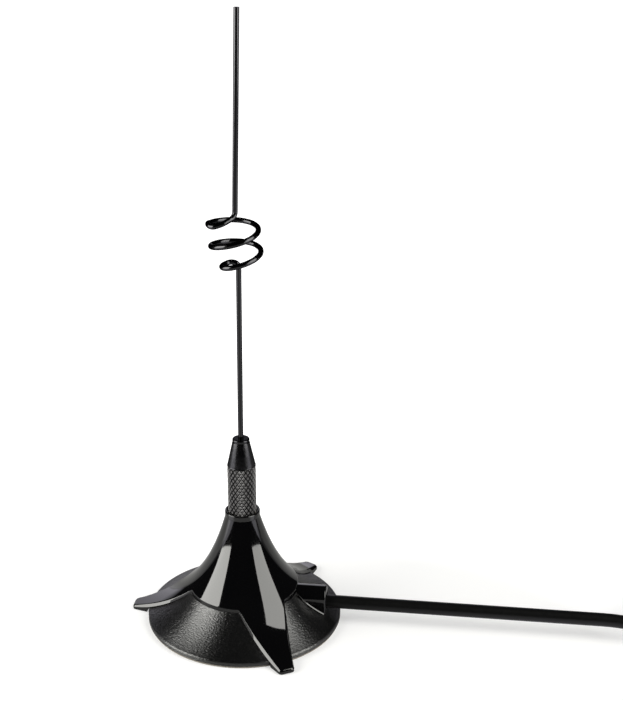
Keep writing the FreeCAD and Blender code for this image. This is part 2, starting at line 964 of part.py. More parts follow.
def make_plug_insulator():
    end = nose_end - plug_insulator_setback
    start = end - plug_insulator_length
    disc = cylinder(body_bore_radius - sleeve_bore_gap, start, end)
    return laid_down(disc.cut(cylinder(pin_tail_radius + sleeve_bore_gap, start, end)))


def make_plug_pin():
    seat = nose_end - plug_insulator_setback
    tip = seat + pin_reach
    tail = cylinder(pin_tail_radius, seat - pin_tail_length, seat)
    pin = cylinder(pin_radius, seat, tip)
    rim = [edge for edge in pin.Edges if edge.BoundBox.ZMin > tip - NEAR]
    pin = pin.makeFillet(pin_tip_round, rim)
    return laid_down(pin.fuse(tail).removeSplitter())


def make_coupling_ring():
    """Ring that turns on the barrel, held by the flange of the body."""
    lip_end = flange_start - ring_end_gap
    start = lip_end - ring_lip_length
    end = start + ring_length
    lip = body_barrel_radius + ring_lip_gap
    return laid_down(turned_outline([
        (lip, start),
        (ring_radius - ring_chamfer, start),
        (ring_radius, start + ring_chamfer),
        (ring_radius, end - ring_chamfer),
        (ring_radius - ring_chamfer, end),
        (ring_thread_radius + ring_mouth_chamfer, end),
        (ring_thread_radius, end - ring_mouth_chamfer),
        (ring_thread_radius, lip_end),
        (lip, lip_end),
    ]))


cable_coil = make_cable_coil()

pieces = {
    "base_pad": make_base_pad(),
    "skirt": make_skirt(),
    "magnet": make_magnet(),
    "magnet_cup": make_magnet_cup(),
    "cover_screws": make_cover_screws(),
    "cover": make_cover(),
    "contact_stud": make_contact_stud(),
    "stud_washer": make_stud_washer(),
    "solder_tag": make_solder_tag(),
    "stud_nut": make_stud_nut(),
    "whip_ferrule": make_whip_ferrule(),
    "whip": make_whip(),
    "dielectric": make_dielectric(),
    "inner_conductor": make_inner_conductor(),
    "folded_braid": make_folded_braid(),
    "cable_saddle": make_cable_saddle(),
    "saddle_screws": make_saddle_screws(),
    "cable": make_free_cable(CABLE_ROUTE, cable_coil),
    "cable_coil": cable_coil,
    "coil_ties": make_coil_ties(),
    "cable_tail": make_free_cable(TAIL_ROUTE, cable_coil),
    "plug_sleeve": make_plug_sleeve(),
    "plug_body": make_plug_body(),
    "plug_insulator": make_plug_insulator(),
    "plug_pin": make_plug_pin(),
    "coupling_ring": make_coupling_ring(),
}

for name, shape in pieces.items():
    print(name, shape.isValid(), len(shape.Solids), round(shape.Volume, 2))
    shape.exportStep(f"parts/{name}.step")
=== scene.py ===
import math

import bmesh
import bpy
from mathutils import Matrix, Vector


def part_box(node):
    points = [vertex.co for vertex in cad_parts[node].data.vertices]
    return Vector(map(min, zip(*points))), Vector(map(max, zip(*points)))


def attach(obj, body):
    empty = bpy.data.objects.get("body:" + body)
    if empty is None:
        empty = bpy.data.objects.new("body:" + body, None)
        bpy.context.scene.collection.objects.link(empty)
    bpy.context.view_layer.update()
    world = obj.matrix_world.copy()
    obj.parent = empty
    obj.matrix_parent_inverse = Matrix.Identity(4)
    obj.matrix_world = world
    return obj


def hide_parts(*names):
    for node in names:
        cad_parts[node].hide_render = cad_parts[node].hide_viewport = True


# Magnetic mount whip antenna as it looks. Shapes are drawn in millimetres in the frame of the
# CAD model, and a piece is brought to metres when it is finished.

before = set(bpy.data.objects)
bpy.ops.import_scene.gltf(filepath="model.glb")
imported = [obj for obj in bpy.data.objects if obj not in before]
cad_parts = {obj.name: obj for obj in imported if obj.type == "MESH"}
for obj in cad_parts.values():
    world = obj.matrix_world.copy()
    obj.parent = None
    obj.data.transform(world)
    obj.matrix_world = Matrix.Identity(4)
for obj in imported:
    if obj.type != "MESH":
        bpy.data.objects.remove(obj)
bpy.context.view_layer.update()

MM = 0.001
WELD = 0.002
NEAR = 0.02
HALVINGS = 50
BEZIER_STEP = 0.001
TURN_STEPS = 192
SMALL_TURN_STEPS = 96

# Skirt and pad. SKIRT holds the handles of the skirt's outside, from its top down to its rim
SKIRT = ((20.4, 12.807), (23.742, 8.824), (29.527, 4.553), (35.2, 2.6))
skirt_foot = 32.8
skirt_foot_margin = 0.2
skirt_flange = 17.8
skirt_flange_margin = 0.5
skirt_wall = 1.8
skirt_steps = 40
skirt_inner_steps = 20
skirt_slot_start = 10.0
skirt_slot_gap = 0.5
rim_radius = 36.0
rim_round = 0.8
rim_steps = 8
pad_radius = 35.7
pad_top = 0.8
pad_recess = 0.25
pad_recess_radius = 12.0
pad_recess_slope = 0.4
pad_round = 0.2

# Cover. FLARE holds the handles of its outside, from its neck down and out to beyond its fins
FLARE = ((6.3, 42.35), (10.65, 27.3), (18.3, 6.6), (42.8, 1.74))
flare_search_steps = 400
flare_steps = 64
cover_inner_steps = 40
cover_edge = 20.2
cover_wall = 1.9
cover_foot_margin = 0.3
cover_web_margin = 0.2
cover_gap = 0.25
cover_round = 0.3
cover_round_angle = math.radians(20.0)
cover_round_band = 0.1
neck_lip = 6.4
neck_bore = 5.55
neck_lip_foot = 42.5
neck_top = 44.4
web_top = 41.5
web_bottom = 34.0
stud_hole = 2.55

# Fins and hood of the cover
fin_angles = (180.0, 300.0, 60.0)
fin_columns = 14
fin_row_step = 0.83
fin_even_rows = 18
FIN_TOE_ROWS = (35.9, 36.35, 37.3, 38.3, 39.3, 40.4, 41.4)
fin_reach = 42.5
fin_tip = 2.7
fin_toe_round = 0.9
fin_toe_spare = 0.1
fin_toe_bottom = 0.3
fin_toe_lean = 0.35
fin_draft = math.tan(math.radians(38.0))
fin_draft_run = 0.45
fin_facet = 1.0
fin_toe_facet = 0.6
hood_half = 4.5
hood_arch = 9.5
hood_arch_steps = 24
hood_start = 18.8
hood_end = 31.0
hood_round = 0.5
hood_foot_start = 0.4
hood_foot_root = 0.3
hood_foot_width = 0.4
hood_foot_height = 0.3
hood_foot_steps = 14
passage_start = 14.0
cut_spare = 2.0
room_floor = -1.0
ROOM_RADII = (36.0, 35.2, 34.0, 32.0, 30.0, 28.0, 26.0, 24.0, 22.0, 21.0, 20.4)

# Ferrule
ferrule_stud_depth = 13.6
ferrule_foot = 4.7
ferrule_foot_height = 0.6
grip_radius = 5.2
grip_height = 19.4
grip_core_gap = 0.12
knurl_depth = 0.34
knurl_columns = 20
knurl_rows = 8
knurl_groove = 0.19
knurl_root = 0.9
cone_foot = 5.1
cone_foot_height = 0.3
cone_top = 3.1
groove_radius = 2.85
groove_low = 1.2
groove_high = 0.9
socket_depth = 14.6

# Whip
whip_radius = 0.95
whip_socket = 0.98
whip_turn = math.radians(8.35)
whip_bend_height = 8.0
LOWER_ROD_SHARES = (0.1, 0.9, 0.97)
UPPER_ROD_SHARES = (0, 0.03, 0.1, 0.5, 1)
coil_radius = 8.3
coil_pitch = 7.6
coil_lean = math.radians(5.7)
coil_middle = 149.7
coil_side = -0.85
coil_begin, coil_end, coil_point_step = -450, 180, 30
upper_lean = math.radians(1.6)
upper_rod = 66.6
COIL_FOOT = (0.5, 0.0, 136.4)
COIL_HEAD = (-0.3, 0.0, 157.3)
CURL_IN = (
    (-0.4, 0.1, 2.0), (-2.1, 0.3, 2.7), (-4.5, -1.0, 2.5), (-5.5, -4.2, 2.5), (-3.7, -7.2, 3.0),
)
CURL_OUT = (
    (-7.6, -2.7, -4.8), (-5.0, -3.0, -4.1), (-2.2, -1.65, -3.05), (-0.75, -0.62, -2.3),
    (-0.1, -0.05, -1.1),
)

# Cable and its wound-up length
cable_radius = 2.475
cable_height = 7.75
cable_bore = 2.625
CABLE_ROUTE = (
    (12.4, 0.0, 7.75), (122.0, 0.0, 7.75), (141.0, 0.0, 7.75), (159.0, -6.0, 6.4),
    (180.9, -14.4, 3.5),
)
TAIL_ROUTE = (
    (193.0, -10.4, 18.3), (210.0, -8.9, 18.2), (227.0, -3.8, 15.6), (239.3, 7.6, 12.0),
    (245.0, 23.4, 9.3), (245.0, 34.4, 9.3),
)
WOUND_CENTER = Vector((190.0, 22.0, 0.0))
WOUND_RINGS = (37.5, 32.55, 27.6, 22.65)
wound_layers = 4
wound_first_layer = 3.475
wound_layer_rise = 4.95
wound_last_shifts = 2
wound_entry = -104.0
wound_exit = -84.7
wound_step = 12.0
wound_shift = 40.0

# Straps round the wound-up length
strap_angles = (20.0, 200.0)
strap_width = 10.0
strap_inner = 19.2
strap_outer = 41.0
strap_top = 21.8
strap_corner = 3.2
strap_thickness = 0.9
strap_round = 0.2
strap_round_angle = math.radians(50.0)
strap_spin_radius = 30.0
strap_spin_steps = 10
flap_width = 9.6
flap_gap = 0.05
flap_start = 23.0
flap_foot = 8.0
flap_thickness = 0.8
flap_end_round = 3.6

# Plug, with heights along its own axis from the rear of its adapter
adapter_bore = 2.505
adapter_collar = 4.6
adapter_collar_end = 6.0
adapter_core = 4.2
adapter_end = 14.0
shell_bore = 4.23
shell_wire_bore = 3.0
shell_radius = 6.2
shell_flange = 7.6
shell_flange_start = 19.0
shell_flange_end = 21.0
shell_nose = 6.0
shell_end = 32.0
shell_notch = (14.0, 2.0, 2.4)
disc_seat = 5.2
disc_radius = 5.17
disc_bore = 2.02
disc_start = 26.0
disc_end = 30.0
pin_neck = 1.4
pin_radius = 2.0
pin_hole = 0.75
pin_hole_depth = 2.5
ring_bore = 6.27
ring_core = 8.6
ring_edge = 8.2
ring_mouth = 8.1
ring_start = 15.7
ring_core_start = 16.5
ring_core_end = 33.9
ring_end = 34.7
ring_web_end = 18.7
ring_relief_end = 21.6
thread_root = 7.95
thread_crest = 7.55
thread_pitch = 1.058
thread_turns = 11
thread_flank = 0.45
thread_land = 0.6
thread_round = 0.06


# Drawing helpers


def bezier(handles, share):
    """Point on a Bezier curve of four handles."""
    rest = 1 - share
    weights = (rest**3, 3 * rest * rest * share, 3 * rest * share * share, share**3)
    return sum((Vector(handle) * weight for handle, weight in zip(handles, weights)), Vector((0, 0)))


def bezier_aside(handles, share, distance):
    """Point at a distance inwards from a Bezier curve that runs down and out."""
    before = bezier(handles, max(share - BEZIER_STEP, 0))
    ahead = bezier(handles, min(share + BEZIER_STEP, 1)) - before
    return bezier(handles, share) + Vector((ahead.y, -ahead.x)).normalized() * distance


def height_at(handles, radius):
    """Height of a Bezier curve at a radius."""
    low, high = 0.0, 1.0
    for _ in range(HALVINGS):
        middle = (low + high) / 2
        if bezier(handles, middle).x < radius:
            low = middle
        else:
            high = middle
    return bezier(handles, low).y


def skirt_height(radius):
    """Height of the skirt's outside at a radius."""
    if radius <= SKIRT[0][0]:
        return SKIRT[0][1]
    if radius <= SKIRT[3][0]:
        return height_at(SKIRT, radius)
    aside = min(radius - SKIRT[3][0], rim_round)
    return SKIRT[3][1] - rim_round + math.sqrt(rim_round**2 - aside**2)


def eased(corners, steps=4):
    """Outline with rounded corners. A corner gives radius, height, and how far it is rounded."""
    outline = []
    for place, (radius, height, ease) in enumerate(corners):
        here = Vector((radius, height))
        if not ease:
            outline.append(here)
            continue
        before = here + (Vector(corners[place - 1][:2]) - here).normalized() * ease
        after = here + (Vector(corners[(place + 1) % len(corners)][:2]) - here).normalized() * ease
        for step in range(steps + 1):
            share = step / steps
            outline.append(before.lerp(here, share).lerp(here.lerp(after, share), share))
    return outline


def only(piece):
    """Makes the piece the one selected object."""
    bpy.ops.object.select_all(action="DESELECT")
    piece.select_set(True)
    bpy.context.view_layer.objects.active = piece


def edit(piece, kind="VERT"):
    """Opens the piece in edit mode with nothing selected."""
    only(piece)
    bpy.ops.object.mode_set(mode="EDIT")
    bpy.ops.mesh.select_mode(type=kind)
    bpy.ops.mesh.select_all(action="DESELECT")


def close():
    """Leaves edit mode."""
    bpy.ops.object.mode_set(mode="OBJECT")


def clean():
    """Welds what touches and turns the faces outwards, in edit mode."""
    bpy.ops.mesh.select_all(action="SELECT")
    bpy.ops.mesh.remove_doubles(threshold=WELD)
    bpy.ops.mesh.normals_make_consistent(inside=False)


def pick(piece, kind, wanted):
    """Selects the vertices, edges or faces that pass the test, in edit mode."""
    bpy.ops.mesh.select_mode(type=kind)
    bpy.ops.mesh.select_all(action="DESELECT")
    mesh = bmesh.from_edit_mesh(piece.data)
    mesh.normal_update()
    for part in {"VERT": mesh.verts, "EDGE": mesh.edges, "FACE": mesh.faces}[kind]:
        if wanted(part):
            part.select_set(True)
    bmesh.update_edit_mesh(piece.data)


def drawn(name, points):
    """Chain of edges, drawn by extruding one vertex from point to point, left in edit mode."""
    bpy.ops.object.select_all(action="DESELECT")
    bpy.ops.mesh.primitive_plane_add(size=1)
    piece = bpy.context.object
    piece.name = piece.data.name = name
    bpy.ops.object.mode_set(mode="EDIT")
    bpy.ops.mesh.select_mode(type="VERT")
    bpy.ops.mesh.select_all(action="SELECT")
    bpy.ops.mesh.merge(type="CENTER")
    bpy.ops.transform.translate(value=points[0])
    for before, after in zip(points, points[1:]):
        step = Vector(after) - Vector(before)
        bpy.ops.mesh.extrude_region_move(TRANSFORM_OT_translate={"value": step})
    bpy.ops.mesh.select_all(action="SELECT")
    return piece


def turned(name, outline, steps=TURN_STEPS, closed=True):
    """Body of revolution about the Z axis from an outline of radius and height."""
    points = [(radius, 0, height) for radius, height in outline]
    piece = drawn(name, points + points[:1] if closed else points)
    bpy.ops.mesh.spin(steps=steps, angle=math.tau, center=(0, 0, 0), axis=(0, 0, 1))
    clean()
    close()
    return piece


def shaped(piece, kind, **settings):
    """Adds a modifier to the piece and applies it."""
    only(piece)
    modifier = piece.modifiers.new(kind.title(), kind)
    for setting, value in settings.items():
        setattr(modifier, setting, value)
    bpy.ops.object.modifier_apply(modifier=modifier.name)


def combined(piece, operation, tool):
    """Unites the piece with a tool body or cuts it with that, and clears the tool away."""
    shaped(piece, "BOOLEAN", operation=operation, solver="EXACT", object=tool)
    bpy.data.objects.remove(tool, do_unlink=True)


def joined(piece, *others):
    """One object from several."""
    only(piece)
    for other in others:
        other.select_set(True)
    bpy.ops.object.join()
    return piece


def rod(name, radius, start, end, height, sides=48):
    """Round bar along X, to cut with."""
    bpy.ops.object.select_all(action="DESELECT")
    bpy.ops.mesh.primitive_cylinder_add(
        vertices=sides, radius=radius, depth=end - start,
        location=((start + end) / 2, 0, height), rotation=(0, math.pi / 2, 0),
    )
    bpy.context.object.name = name
    return bpy.context.object


def knurled(name, radius, low, high, columns, rows, depth, groove):
    """Ring with a diamond knurl outside. Its grooves take a share of the columns' pitch."""
    bpy.ops.object.select_all(action="DESELECT")
    bpy.ops.mesh.primitive_cylinder_add(
        vertices=columns, radius=radius - depth, depth=high - low,
        end_fill_type="NOTHING", location=(0, 0, (low + high) / 2),
    )
    piece = bpy.context.object
    piece.name = piece.data.name = name
    bpy.ops.object.transform_apply(location=True)
    edit(piece)
    pick(piece, "EDGE", lambda edge: abs(edge.verts[0].co.z - edge.verts[1].co.z) > NEAR)
    bpy.ops.mesh.subdivide(number_cuts=rows - 1)
    lattice = len(bmesh.from_edit_mesh(piece.data).verts)
    bpy.ops.mesh.select_all(action="SELECT")
    bpy.ops.mesh.poke()
    mesh = bmesh.from_edit_mesh(piece.data)
    for vertex in mesh.verts:
        vertex.co.xy = vertex.co.xy.normalized() * (radius - depth)
    mesh.verts.index_update()

    def in_lattice(edge):
        """Whether an edge of the first lattice lies between two faces."""
        return len(edge.link_faces) == 2 and all(vertex.index < lattice for vertex in edge.verts)

    pick(piece, "EDGE", in_lattice)
    bpy.ops.mesh.dissolve_edges(use_verts=False)
    bpy.ops.mesh.select_mode(type="FACE")
    bpy.ops.mesh.select_all(action="SELECT")
    bpy.ops.mesh.normals_make_consistent(inside=False)
    pitch = math.tau * radius / columns
    bpy.ops.mesh.inset(use_individual=True, thickness=pitch * groove, depth=depth)
    for end in (low, high):
        pick(piece, "EDGE", lambda edge: edge.is_boundary and abs(edge.verts[0].co.z - end) < NEAR)
        bpy.ops.mesh.extrude_region_move()
        bpy.ops.transform.resize(value=(knurl_root, knurl_root, 1), center_override=(0, 0, end))
    pick(piece, "EDGE", lambda edge: edge.is_boundary)
    bpy.ops.mesh.bridge_edge_loops()
    clean()
    close()
    # Marks the knurl's outer tips, which the ferrule's finish makes lighter and rougher.
    lighter_tips = piece.data.attributes.new("lighter_tips", "FLOAT", "POINT")
    for vertex, level in zip(piece.data.vertices, lighter_tips.data):
        level.value = float(vertex.co.xy.length > radius - depth / 2)
    return piece


def finished(piece, material, slot, *nodes, body="antenna", angle=35.0, place=None):
    """Smooths the piece, sets it in its place in metres, and hands it to a body of the frame."""
    only(piece)
    bpy.ops.object.transform_apply()
    bpy.ops.object.shade_smooth_by_angle(angle=math.radians(angle))
    if place:
        piece.data.transform(place)
    piece.data.transform(Matrix.Scale(MM, 4))
    piece.data.materials.clear()
    piece.data.materials.append(material)
    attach(piece, body)
    if nodes:
        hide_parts(*nodes)
    return piece


# Shader helpers


def new_group(name, inputs, outputs):
    """Node group with value inputs. Returns it with its inner input and output nodes."""
    tree = bpy.data.node_groups.new(name, "ShaderNodeTree")
    for label, value in inputs:
        socket = tree.interface.new_socket(label, in_out="INPUT", socket_type="NodeSocketFloat")
        socket.default_value = value
    for label in outputs:
        tree.interface.new_socket(label, in_out="OUTPUT", socket_type="NodeSocketFloat")
    return tree, tree.nodes.new("NodeGroupInput"), tree.nodes.new("NodeGroupOutput")


def add(tree, kind, links=(), **settings):
    """Node with its settings, and with values or links into its inputs."""
    node = tree.nodes.new(kind)
    for setting, value in settings.items():
        setattr(node, setting, value)
    for socket, source in links:
        if isinstance(source, bpy.types.NodeSocket):
            tree.links.new(source, node.inputs[socket])
        else:
            node.inputs[socket].default_value = source
    return node


def worked(tree, operation, *values):
    """What a math node makes of its values."""
    return add(tree, "ShaderNodeMath", enumerate(values), operation=operation).outputs[0]


def ramped(tree, value, low, high, start=0.0, end=1.0):
    """Value that runs from start to end while another runs from low to high."""
    links = [("Value", value), ("From Min", low), ("From Max", high), ("To Min", start), ("To Max", end)]
    return add(tree, "ShaderNodeMapRange", links).outputs[0]


def blended(tree, share, first, second):
    """Value between two others."""
    return add(tree, "ShaderNodeMix", [(0, share), (2, first), (3, second)]).outputs[0]


def tinted(tree, share, first, second):
    """Colour between two others, each of them a socket or three numbers."""
    first, second = (
        colour if isinstance(colour, bpy.types.NodeSocket) else (*colour, 1.0)
        for colour in (first, second)
    )
    return add(tree, "ShaderNodeMix", [(0, share), (6, first), (7, second)], data_type="RGBA").outputs[2]


def object_place(tree):
    """Place on the object that is shaded."""
    return add(tree, "ShaderNodeTexCoord").outputs["Object"]


# Finishes

CREASE_DEPTH = -0.8
FLECK_RANGE = (0.3, 0.7)
TIP_ROUGHNESS = 0.6
SHINE_ROTATION = 0.25


def tone_group():
    """Slow and fine unevenness of a surface that has been moulded and handled."""
    inputs = [("Broad", 60.0), ("Fine", 900.0)]
    tree, inside, outside = new_group("unevenness", inputs, ["Slow", "Fleck"])
    place = object_place(tree)
    for result, size, detail in (("Slow", "Broad", 4.0), ("Fleck", "Fine", 2.0)):
        links = [("Vector", place), ("Scale", inside.outputs[size]), ("Detail", detail)]
        noise = add(tree, "ShaderNodeTexNoise", links)
        tree.links.new(noise.outputs["Fac"], outside.inputs[result])
    return tree


def grain_group():
    """Fine leather grain: small pebbles, drawn out round the axis, with creases between them."""
    inputs = [("Scale", 1500.0), ("Round", 0.012)]
    tree, inside, outside = new_group("leather_grain", inputs, ["Height"])
    scale = inside.outputs["Scale"]
    x, y, z = add(tree, "ShaderNodeSeparateXYZ", [(0, object_place(tree))]).outputs
    around = worked(tree, "MULTIPLY", worked(tree, "ARCTAN2", y, x), inside.outputs["Round"])
    flat = add(tree, "ShaderNodeCombineXYZ", [("X", x), ("Y", y)]).outputs[0]
    radius = add(tree, "ShaderNodeVectorMath", [(0, flat)], operation="LENGTH").outputs["Value"]
    place = add(tree, "ShaderNodeCombineXYZ", [("X", around), ("Y", radius), ("Z", z)]).outputs[0]
    warp = add(tree, "ShaderNodeTexNoise", [("Vector", place), ("Scale", scale), ("Detail", 1.0)])
    cells = add(tree, "ShaderNodeTexVoronoi", [("Vector", place), ("Scale", scale)], feature="SMOOTH_F1")
    height = worked(
        tree, "MULTIPLY_ADD", cells.outputs["Distance"], CREASE_DEPTH, warp.outputs["Fac"],
    )
    tree.links.new(height, outside.inputs["Height"])
    return tree


def weave_group():
    """Woven tape: two families of threads that cross."""
    tree, inside, outside = new_group("weave", [("Scale", 700.0)], ["Height"])
    links = [("Vector", object_place(tree)), ("Scale", inside.outputs["Scale"])]
    waves = [
        add(tree, "ShaderNodeTexWave", links, bands_direction=way).outputs["Fac"]
        for way in ("DIAGONAL", "Z")
    ]
    tree.links.new(worked(tree, "MULTIPLY", *waves), outside.inputs["Height"])
    return tree


def window_group():
    """Mask of the directions about a bearing: 1 up to the full half-width, 0 past the outer one."""
    inputs = [("X", 0.0), ("Y", 0.0), ("Bearing", 0.0), ("Full", 0.2), ("Outer", 0.4)]
    tree, inside, outside = new_group("bearing_window", inputs, ["Mask"])
    bearing = worked(tree, "ARCTAN2", inside.outputs["Y"], inside.outputs["X"])
    aside = worked(tree, "ABSOLUTE", worked(tree, "SUBTRACT", bearing, inside.outputs["Bearing"]))
    aside = worked(tree, "MINIMUM", aside, worked(tree, "SUBTRACT", math.tau, aside))
    mask = ramped(tree, aside, inside.outputs["Full"], inside.outputs["Outer"], 1.0, 0.0)
    tree.links.new(mask, outside.inputs["Mask"])
    return tree


UNEVENNESS = tone_group()
GRAIN = grain_group()
WEAVE = weave_group()
WINDOW = window_group()


def finish(
    name, dark, light, rough, broad=60.0, fine=900.0, metallic=0.0, shine=0.5, index=1.5, rim=1.0,
    drawn_out=0.0, lighter_tips=None, relief=None, scale=1500.0, depth=0.0, bump=0.2,
):
    """Material whose colour runs from dark to light, and its roughness over a range."""
    made = bpy.data.materials.new(name)
    made.use_nodes = True
    tree = made.node_tree
    shader = tree.nodes["Principled BSDF"]
    tone = add(tree, "ShaderNodeGroup", node_tree=UNEVENNESS)
    tone.inputs["Broad"].default_value = broad
    tone.inputs["Fine"].default_value = fine
    colour = tinted(tree, tone.outputs["Slow"], dark, light)
    spread = ramped(tree, tone.outputs["Fleck"], *FLECK_RANGE, *rough)
    # The knurl's outer tips get a lighter, rougher plating.
    if lighter_tips:
        tips = add(tree, "ShaderNodeAttribute", attribute_name="lighter_tips").outputs["Fac"]
        colour = tinted(tree, tips, colour, lighter_tips)
        spread = blended(tree, tips, spread, TIP_ROUGHNESS)
    tree.links.new(colour, shader.inputs["Base Color"])
    tree.links.new(spread, shader.inputs["Roughness"])
    shader.inputs["Metallic"].default_value = metallic
    shader.inputs["Specular IOR Level"].default_value = shine
    shader.inputs["IOR"].default_value = index
    shader.inputs["Specular Tint"].default_value = (rim, rim, rim, 1.0)
    shader.inputs["Anisotropic"].default_value = drawn_out
    shader.inputs["Anisotropic Rotation"].default_value = SHINE_ROTATION
    if depth:
        height = tone.outputs["Fleck"]
        if relief:
            height = add(tree, "ShaderNodeGroup", node_tree=relief).outputs["Height"]
            height.node.inputs["Scale"].default_value = scale
        links = [("Strength", bump), ("Distance", depth), ("Height", height)]
        raised = add(tree, "ShaderNodeBump", links)
        tree.links.new(raised.outputs[0], shader.inputs["Normal"])
    return made


COVER = finish(
    "gloss_black", (0.0012, 0.0012, 0.0014), (0.0020, 0.0020, 0.0022), (0.04, 0.06),
    fine=260.0, shine=0.75, depth=0.00006, bump=0.12,
)
SKIN = finish(
    "grained_black", (0.001, 0.001, 0.001), (0.003, 0.003, 0.003), (0.32, 0.40),
    shine=1.0, index=1.62, drawn_out=0.9, relief=GRAIN, scale=2800.0, depth=0.00012, bump=0.9,
)
PAD = finish("pale_sheet", (0.30, 0.27, 0.23), (0.42, 0.38, 0.33), (0.7, 0.85), depth=0.0001)
FERRULE = finish(
    "black_plating", (0.045, 0.045, 0.047), (0.060, 0.060, 0.064), (0.16, 0.26),
    metallic=1.0, rim=0.4, lighter_tips=(0.20, 0.196, 0.196),
)
WHIP = finish(
    "coated_wire", (0.044, 0.044, 0.045), (0.060, 0.060, 0.064), (0.09, 0.16),
    broad=90.0, metallic=1.0, rim=0.15,
)
JACKET = finish(
    "satin_jacket", (0.002, 0.002, 0.002), (0.004, 0.004, 0.004), (0.32, 0.42),
    shine=0.22, depth=0.00003,
)
TAPE = finish(
    "woven_tape", (0.012, 0.012, 0.013), (0.028, 0.028, 0.030), (0.75, 0.9),
    relief=WEAVE, scale=700.0, depth=0.0003, bump=0.6,
)
NICKEL = finish("nickel", (0.52, 0.51, 0.48), (0.66, 0.65, 0.62), (0.16, 0.30), metallic=1.0)
PHENOLIC = finish("moulded_disc", (0.62, 0.57, 0.46), (0.76, 0.71, 0.60), (0.45, 0.6))
ZINC = finish("zinc_plate", (0.45, 0.45, 0.44), (0.60, 0.60, 0.58), (0.28, 0.44), metallic=1.0)
BRASS = finish("turned_brass", (0.55, 0.38, 0.15), (0.70, 0.51, 0.24), (0.2, 0.34), metallic=1.0)
COPPER = finish("bare_copper", (0.60, 0.30, 0.17), (0.74, 0.42, 0.26), (0.25, 0.4), metallic=1.0)
FERRITE = finish(
    "sintered_ferrite", (0.035, 0.035, 0.038), (0.07, 0.07, 0.075), (0.6, 0.8), depth=0.0001,
)
FOAM = finish("natural_core", (0.70, 0.70, 0.67), (0.82, 0.82, 0.79), (0.4, 0.55))

# Pieces inside the base keep the shapes of the CAD model
for node, material in {
    "magnet": FERRITE, "magnet_cup": ZINC, "cover_screws": ZINC, "contact_stud": BRASS,
    "stud_washer": ZINC, "solder_tag": BRASS, "stud_nut": BRASS, "dielectric": FOAM,
    "inner_conductor": COPPER, "folded_braid": COPPER, "cable_saddle": ZINC, "saddle_screws": ZINC,
}.items():
    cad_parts[node].data.materials.clear()
    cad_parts[node].data.materials.append(material)


# Cable: one line from the hood through the wound-up length to the plug


def wound_stops():
    """Turning angle, ring and layer where the wound-up length begins or ends a change of place."""
    stops = [(0.0, 0, 0)]
    turn = 0.0
    ring = 0
    last_layer = wound_layers - 1
    for layer in range(wound_layers):
        inwards = layer % 2 == 0
        shift_at = (360.0 - wound_shift * (1 + 2 * layer)) % 360.0
        shifts = len(WOUND_RINGS) - 1 if layer < last_layer else wound_last_shifts
        for _ in range(shifts):
            begin = turn + (shift_at - turn) % 360.0
            after = ring + (1 if inwards else -1)
            stops += [(begin, ring, layer), (begin + wound_shift, after, layer)]
            turn, ring = begin + wound_shift, after
        if layer < last_layer:
            begin = turn + (shift_at - wound_shift - turn) % 360.0
            stops += [(begin, ring, layer), (begin + wound_shift, ring, layer + 1)]
            turn = begin + wound_shift
    stops.append((turn + (wound_exit - wound_entry - turn) % 360.0, ring, last_layer))
    return stops


def wound_points():
    """Points of the wound-up length, layer by layer, out to in and in to out."""
    stops = wound_stops()
    points = []
    count = round(stops[-1][0] / wound_step)
    for step in range(1, count):
        angle = stops[-1][0] * step / count
        for (begin, ring, layer), (end, next_ring, next_layer) in zip(stops, stops[1:]):
            if begin <= angle <= end:
                break
        share = (angle - begin) / (end - begin)
        radius = WOUND_RINGS[ring] + (WOUND_RINGS[next_ring] - WOUND_RINGS[ring]) * share
        radius /= math.cos(math.radians(wound_step / 2))
        height = wound_first_layer + wound_layer_rise * (layer + (next_layer - layer) * share)
        way = math.radians(wound_entry + angle)
        points.append(WOUND_CENTER + Vector((radius * math.cos(way), radius * math.sin(way), height)))
    return points


route = [Vector(point) for point in (*CABLE_ROUTE, *wound_points(), *TAIL_ROUTE)]
line = bpy.data.curves.new("cable", "CURVE")
line.dimensions = "3D"
line.bevel_depth = cable_radius * MM
line.bevel_resolution = 6
line.resolution_u = 5
line.use_fill_caps = True
spline = line.splines.new("NURBS")
spline.points.add(len(route) - 1)
for point, place in zip(spline.points, route):
    point.co = (*(place * MM), 1)
spline.order_u = 3
spline.use_endpoint_u = True
spline.use_smooth = True
cable = bpy.data.objects.new("cable_line", line)
bpy.context.scene.collection.objects.link(cable)
line.materials.append(JACKET)
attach(cable, "antenna")
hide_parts("cable", "cable_coil", "cable_tail")


# Cover: the trumpet is turned, the fins are drawn out of its edge, the hood is united with it

flare_end = next(
    step / flare_search_steps for step in range(flare_search_steps + 1)
    if bezier(FLARE, step / flare_search_steps).x >= cover_edge
)
edge_top = height_at(FLARE, cover_edge)
edge_foot = SKIRT[0][1]
lip = eased([
    (stud_hole, web_bottom, 0), (stud_hole, web_top, 0), (neck_bore, web_top, 0),
    (neck_bore, neck_top, 0.25), (neck_lip, neck_top, 0.4), (neck_lip, neck_lip_foot, 0.1),
])
outside = [bezier(FLARE, flare_end * step / flare_steps) for step in range(flare_steps)]
inside = [
    bezier_aside(FLARE, flare_end * step / cover_inner_steps, cover_wall)
    for step in range(cover_inner_steps, -1, -1)
]
inside = [
    point for point in inside
    if edge_foot + cover_foot_margin < point.y < web_bottom - cover_web_margin and point.x > stud_hole
]
edge = [
    (cover_edge, edge_top), (cover_edge, (edge_top + edge_foot) / 2), (cover_edge, edge_foot),
    (inside[0].x, edge_foot),
]
cover = turned("cover_shell", [*lip, *outside, *edge, *inside, (inside[-1].x, web_bottom)])


def fin_bottom(radius):
    """Height of a fin's underside at a radius."""
    if radius < rim_radius + cover_gap:
        return skirt_height(radius) + cover_gap
    return fin_toe_bottom


